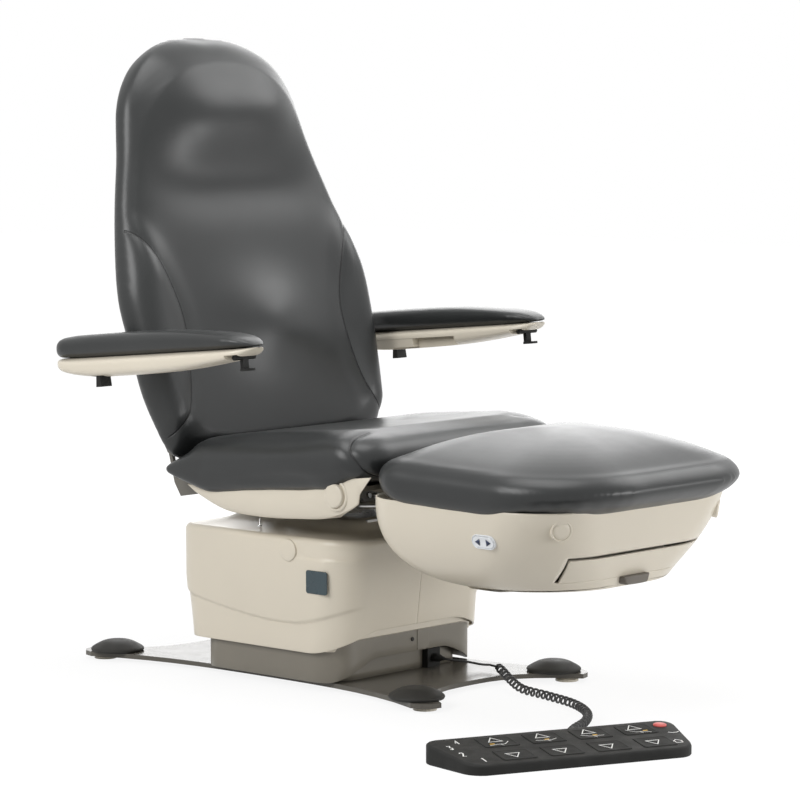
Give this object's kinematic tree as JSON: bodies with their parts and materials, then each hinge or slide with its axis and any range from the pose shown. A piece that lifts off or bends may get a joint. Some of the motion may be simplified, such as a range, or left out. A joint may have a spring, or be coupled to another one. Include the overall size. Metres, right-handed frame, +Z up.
{
  "type": "bariatric procedure chair",
  "caption": "Powered wide procedure chair with telescoping lift, tilting seat, reclining back, flip-up armrests, extending leg section with drawer, and corded foot control",
  "frame": {"origin": "centre of the base plate's underside, which stands 9 mm above the floor on the levelling feet", "axes": "+Z up, -Y the way the sitter faces, +X the sitter's left"},
  "size_m": [1.1725, 1.6951, 1.375],
  "materials": {
    "vinyl": "semi-matt charcoal upholstery vinyl",
    "beige": "satin beige moulded shell",
    "taupe": "satin taupe paint",
    "cap_rubber": "matt dark rubber",
    "black": "matt black moulding",
    "cord": "matt black cord",
    "steel": "zinc plated",
    "frame": "matt black paint",
    "switch": "white rocker",
    "pull": "brown moulding"
  },
  "bodies": {
    "base": {"base_plate": "taupe", "corner_cap_front_right": "cap_rubber", "corner_cap_front_left": "cap_rubber", "corner_cap_rear_right": "cap_rubber", "corner_cap_rear_left": "cap_rubber", "levelling_foot_front_right": "beige", "levelling_foot_front_left": "beige", "levelling_foot_rear_right": "beige", "levelling_foot_rear_left": "beige", "base_skirt": "taupe", "lift_column_fixed": "steel", "lift_actuator_body": "frame", "control_socket": "black", "foot_control_housing": "black", "control_plug": "black", "control_lead": "cord", "control_curl": "cord"},
    "lift_mid": {"lift_column_mid": "steel", "mid_shroud": "beige", "lift_spindle_mid": "steel"},
    "lift_top": {"lift_column_top": "steel", "lift_cover_right": "beige", "lift_cover_left": "beige", "lift_spindle_top": "steel", "tilt_actuator_body": "frame"},
    "tilt_rod": {"tilt_rod": "steel"},
    "seat": {"seat_frame": "frame", "seat_cushion": "vinyl", "seat_side_cover_right": "beige", "seat_side_cover_left": "beige", "back_actuator_body": "frame", "leg_actuator_body": "frame"},
    "back_rod": {"back_rod": "steel"},
    "leg_rod": {"leg_rod": "steel"},
    "back": {"back_frame": "frame", "back_cushion": "vinyl"},
    "leg": {"leg_carrier": "steel"},
    "leg_slide": {"leg_shell": "beige", "leg_pad": "vinyl"},
    "extension_switch": {"extension_switch": "switch"},
    "drawer": {"debris_drawer": "beige", "drawer_pull": "pull"},
    "arm_bar_right": {"arm_bar_right": "beige"},
    "arm_right": {"arm_shell_right": "beige", "arm_pad_right": "vinyl"},
    "arm_tab_right": {"arm_tab_right": "black"},
    "arm_paddle_right": {"arm_paddle_right": "black"},
    "arm_bar_left": {"arm_bar_left": "beige"},
    "arm_left": {"arm_shell_left": "beige", "arm_pad_left": "vinyl"},
    "arm_tab_left": {"arm_tab_left": "black"},
    "arm_paddle_left": {"arm_paddle_left": "black"},
    "foot_key_1": {"foot_key_1": "black"},
    "foot_key_2": {"foot_key_2": "black"},
    "foot_key_3": {"foot_key_3": "black"},
    "foot_key_4": {"foot_key_4": "black"},
    "foot_key_5": {"foot_key_5": "black"},
    "foot_key_6": {"foot_key_6": "black"},
    "foot_key_7": {"foot_key_7": "black"},
    "foot_key_8": {"foot_key_8": "black"}
  },
  "joints": [
    {"name": "lift_lower", "type": "slide", "parent": "base", "child": "lift_mid", "axis": [0, 0, 1], "range_m": [0, 0.16]},
    {"name": "lift_upper", "type": "slide", "parent": "lift_mid", "child": "lift_top", "axis": [0, 0, 1], "range_m": [0, 0.16]},
    {"name": "seat_tilt", "type": "hinge", "parent": "lift_top", "child": "seat", "pos_m": [0, 0.1, 0.376], "axis": [-1, 0, 0], "range_deg": [0, 15]},
    {"name": "tilt_rod_slide", "type": "slide", "parent": "lift_top", "child": "tilt_rod", "axis": [0, 0, 1], "range_m": [0, 0.066]},
    {"name": "back_recline", "type": "hinge", "parent": "seat", "child": "back", "pos_m": [0, 0.135, 0.406], "axis": [-1, 0, 0], "range_deg": [0, 62]},
    {"name": "back_rod_slide", "type": "slide", "parent": "seat", "child": "back_rod", "axis": [0, -0.9962, 0.0872], "range_m": [0, 0.0475]},
    {"name": "leg_drop", "type": "hinge", "parent": "seat", "child": "leg", "pos_m": [0, -0.38, 0.431], "axis": [1, 0, 0], "range_deg": [0, 34]},
    {"name": "leg_rod_slide", "type": "slide", "parent": "seat", "child": "leg_rod", "axis": [0, 0.9962, -0.0872], "range_m": [0, 0.0205]},
    {"name": "leg_extend", "type": "slide", "parent": "leg", "child": "leg_slide", "axis": [0, -1, 0], "range_m": [0, 0.15]},
    {"name": "drawer_slide", "type": "slide", "parent": "leg_slide", "child": "drawer", "axis": [0, -1, 0], "range_m": [0, 0.18]},
    {"name": "switch_rock", "type": "hinge", "parent": "leg_slide", "child": "extension_switch", "pos_m": [-0.31242, -0.706, 0.3692], "axis": [-0.2562, 0, 0.9666], "range_deg": [-3, 3], "stiffness_Nm_per_rad": 0.2},
    {"name": "arm_level_right", "type": "hinge", "parent": "back", "child": "arm_bar_right", "pos_m": [-0.45, 0.32499, 0.66598], "axis": [-1, 0, 0], "range_deg": [-62.1, 0]},
    {"name": "arm_flip_right", "type": "hinge", "parent": "arm_bar_right", "child": "arm_right", "pos_m": [-0.45, 0.32499, 0.66598], "axis": [-1, 0, 0], "range_deg": [0, 90]},
    {"name": "arm_tab_press_right", "type": "hinge", "parent": "arm_right", "child": "arm_tab_right", "pos_m": [-0.468, 0.22378, 0.65852], "axis": [1, 0, 0], "range_deg": [0, 20], "stiffness_Nm_per_rad": 0.3, "springref_deg": -5.73},
    {"name": "arm_paddle_press_right", "type": "hinge", "parent": "arm_right", "child": "arm_paddle_right", "pos_m": [-0.45, -0.17472, 0.71397], "axis": [1, 0, 0], "range_deg": [0, 15], "stiffness_Nm_per_rad": 0.3, "springref_deg": -5.73},
    {"name": "arm_level_left", "type": "hinge", "parent": "back", "child": "arm_bar_left", "pos_m": [0.45, 0.32499, 0.66598], "axis": [-1, 0, 0], "range_deg": [-62.1, 0]},
    {"name": "arm_flip_left", "type": "hinge", "parent": "arm_bar_left", "child": "arm_left", "pos_m": [0.45, 0.32499, 0.66598], "axis": [-1, 0, 0], "range_deg": [0, 90]},
    {"name": "arm_tab_press_left", "type": "hinge", "parent": "arm_left", "child": "arm_tab_left", "pos_m": [0.468, 0.22378, 0.65852], "axis": [1, 0, 0], "range_deg": [0, 20], "stiffness_Nm_per_rad": 0.3, "springref_deg": -5.73},
    {"name": "arm_paddle_press_left", "type": "hinge", "parent": "arm_left", "child": "arm_paddle_left", "pos_m": [0.45, -0.17472, 0.71397], "axis": [1, 0, 0], "range_deg": [0, 15], "stiffness_Nm_per_rad": 0.3, "springref_deg": -5.73},
    {"name": "foot_key_1_press", "type": "slide", "parent": "base", "child": "foot_key_1", "axis": [0.0512, 0.1177, -0.9917], "range_m": [0, 0.0015], "stiffness_N_per_m": 2000, "springref_m": -0.001},
    {"name": "foot_key_2_press", "type": "slide", "parent": "base", "child": "foot_key_2", "axis": [0.0512, 0.1177, -0.9917], "range_m": [0, 0.0015], "stiffness_N_per_m": 2000, "springref_m": -0.001},
    {"name": "foot_key_3_press", "type": "slide", "parent": "base", "child": "foot_key_3", "axis": [0.0512, 0.1177, -0.9917], "range_m": [0, 0.0015], "stiffness_N_per_m": 2000, "springref_m": -0.001},
    {"name": "foot_key_4_press", "type": "slide", "parent": "base", "child": "foot_key_4", "axis": [0.0512, 0.1177, -0.9917], "range_m": [0, 0.0015], "stiffness_N_per_m": 2000, "springref_m": -0.001},
    {"name": "foot_key_5_press", "type": "slide", "parent": "base", "child": "foot_key_5", "axis": [0.0512, 0.1177, -0.9917], "range_m": [0, 0.0015], "stiffness_N_per_m": 2000, "springref_m": -0.001},
    {"name": "foot_key_6_press", "type": "slide", "parent": "base", "child": "foot_key_6", "axis": [0.0512, 0.1177, -0.9917], "range_m": [0, 0.0015], "stiffness_N_per_m": 2000, "springref_m": -0.001},
    {"name": "foot_key_7_press", "type": "slide", "parent": "base", "child": "foot_key_7", "axis": [0.0512, 0.1177, -0.9917], "range_m": [0, 0.0015], "stiffness_N_per_m": 2000, "springref_m": -0.001},
    {"name": "foot_key_8_press", "type": "slide", "parent": "base", "child": "foot_key_8", "axis": [0.0512, 0.1177, -0.9917], "range_m": [0, 0.0015], "stiffness_N_per_m": 2000, "springref_m": -0.001}
  ],
  "couplings": [
    {"joint": "lift_upper", "follows": "lift_lower", "ratio": 1},
    {"joint": "tilt_rod_slide", "follows": "seat_tilt", "m_per_rad": 0.2511},
    {"joint": "back_rod_slide", "follows": "back_recline", "m_per_rad": 0.04324},
    {"joint": "leg_rod_slide", "follows": "leg_drop", "m_per_rad": 0.03396},
    {"joint": "arm_level_right", "follows": "back_recline", "ratio": -1},
    {"joint": "arm_level_left", "follows": "back_recline", "ratio": -1}
  ]
}
